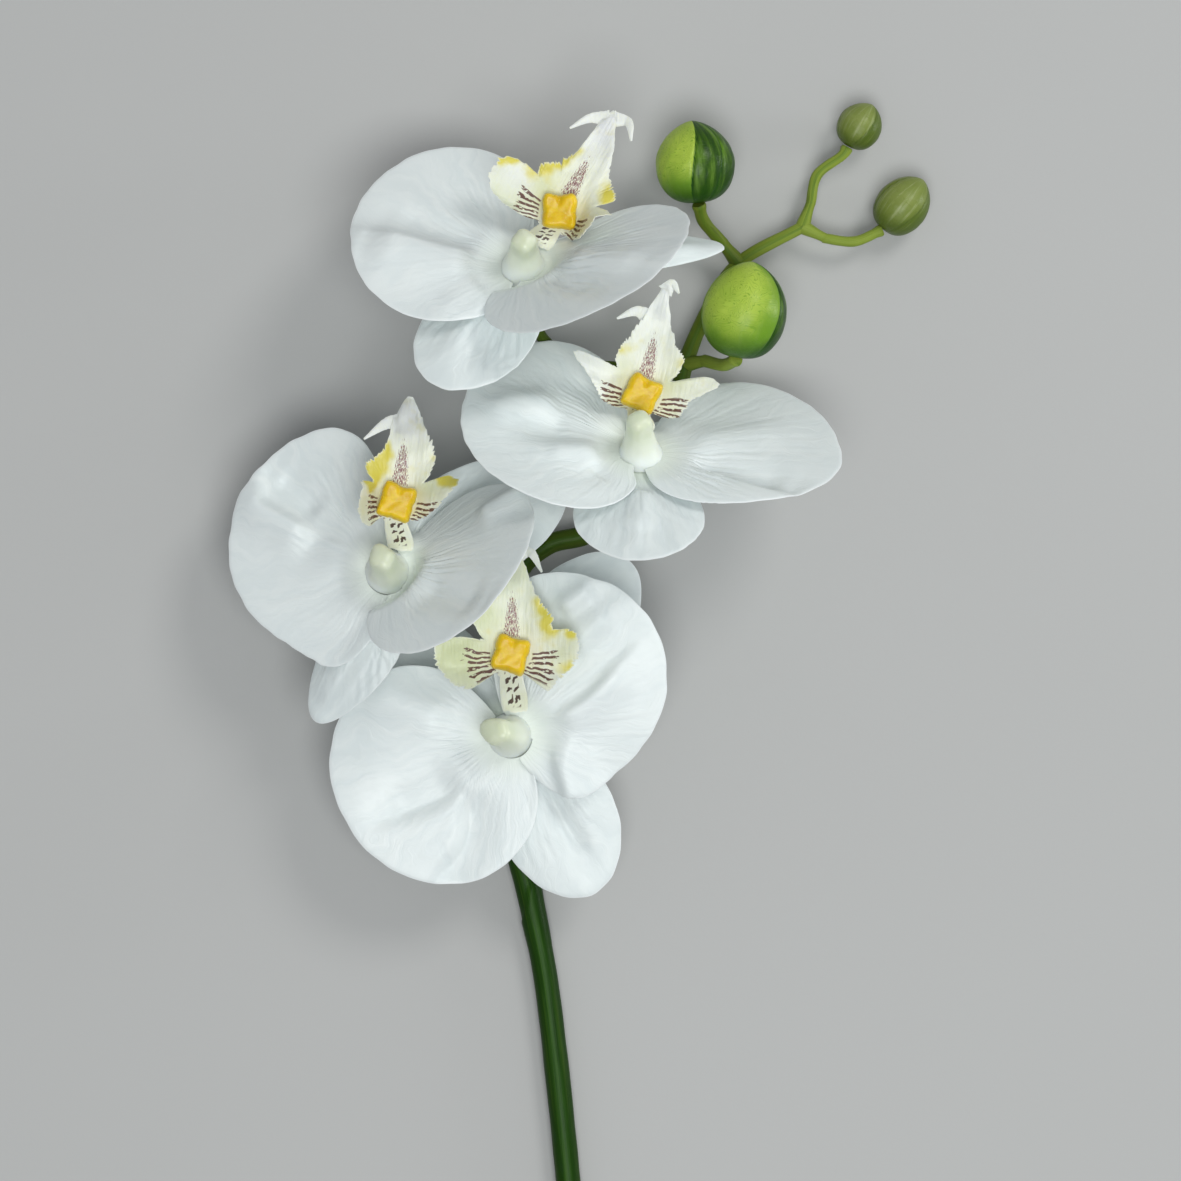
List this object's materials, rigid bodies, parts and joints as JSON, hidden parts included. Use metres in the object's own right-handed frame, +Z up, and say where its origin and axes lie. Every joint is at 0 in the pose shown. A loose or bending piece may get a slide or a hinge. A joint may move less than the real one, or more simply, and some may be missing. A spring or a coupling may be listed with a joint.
{
  "type": "moth orchid stem",
  "caption": "White moth orchid spray lying on its back: a bent green stem with open flat blooms, spotted cream lips with a yellow centre, large closed buds and small ones at a forked tip.",
  "frame": {"origin": "middle of the spray's footprint on the table it lies on", "axes": "+Z up from the table, +Y along the stem from its cut foot to the buds, +X to the right seen from above"},
  "size_m": [0.1894, 0.4356, 0.0852],
  "materials": {
    "petal_white": "soft satin coating",
    "sepal_white": "soft satin coating",
    "lip_cream": "matt, spotted and striped dark red",
    "callus_yellow": "glossy",
    "column_cream": "smooth",
    "stem_green": "moulded",
    "bud_green": "satin",
    "bud_olive": "satin"
  },
  "bodies": {
    "root": {"bloom_1_petal_left": "petal_white", "bloom_1_petal_right": "petal_white", "bloom_1_sepal_dorsal": "sepal_white", "bloom_1_sepal_left": "sepal_white", "bloom_1_sepal_right": "sepal_white", "bloom_1_lip": "lip_cream", "bloom_1_callus": "callus_yellow", "bloom_1_column": "column_cream", "bloom_1_pedicel": "stem_green", "bloom_2_petal_left": "petal_white", "bloom_2_petal_right": "petal_white", "bloom_2_sepal_dorsal": "sepal_white", "bloom_2_sepal_left": "sepal_white", "bloom_2_sepal_right": "sepal_white", "bloom_2_lip": "lip_cream", "bloom_2_callus": "callus_yellow", "bloom_2_column": "column_cream", "bloom_2_pedicel": "stem_green", "bloom_3_petal_left": "petal_white", "bloom_3_petal_right": "petal_white", "bloom_3_sepal_dorsal": "sepal_white", "bloom_3_sepal_left": "sepal_white", "bloom_3_sepal_right": "sepal_white", "bloom_3_lip": "lip_cream", "bloom_3_callus": "callus_yellow", "bloom_3_column": "column_cream", "bloom_3_pedicel": "stem_green", "bloom_4_petal_left": "petal_white", "bloom_4_petal_right": "petal_white", "bloom_4_sepal_dorsal": "sepal_white", "bloom_4_sepal_left": "sepal_white", "bloom_4_sepal_right": "sepal_white", "bloom_4_lip": "lip_cream", "bloom_4_callus": "callus_yellow", "bloom_4_column": "column_cream", "bloom_4_pedicel": "stem_green", "bud_large_upper": "bud_green", "bud_large_upper_stalk": "stem_green", "bud_large_lower": "bud_green", "bud_large_lower_stalk": "stem_green", "bud_small_upper": "bud_olive", "bud_small_upper_stalk": "stem_green", "bud_small_lower": "bud_olive", "bud_small_lower_stalk": "stem_green", "stem": "stem_green"}
  },
  "joints": []
}
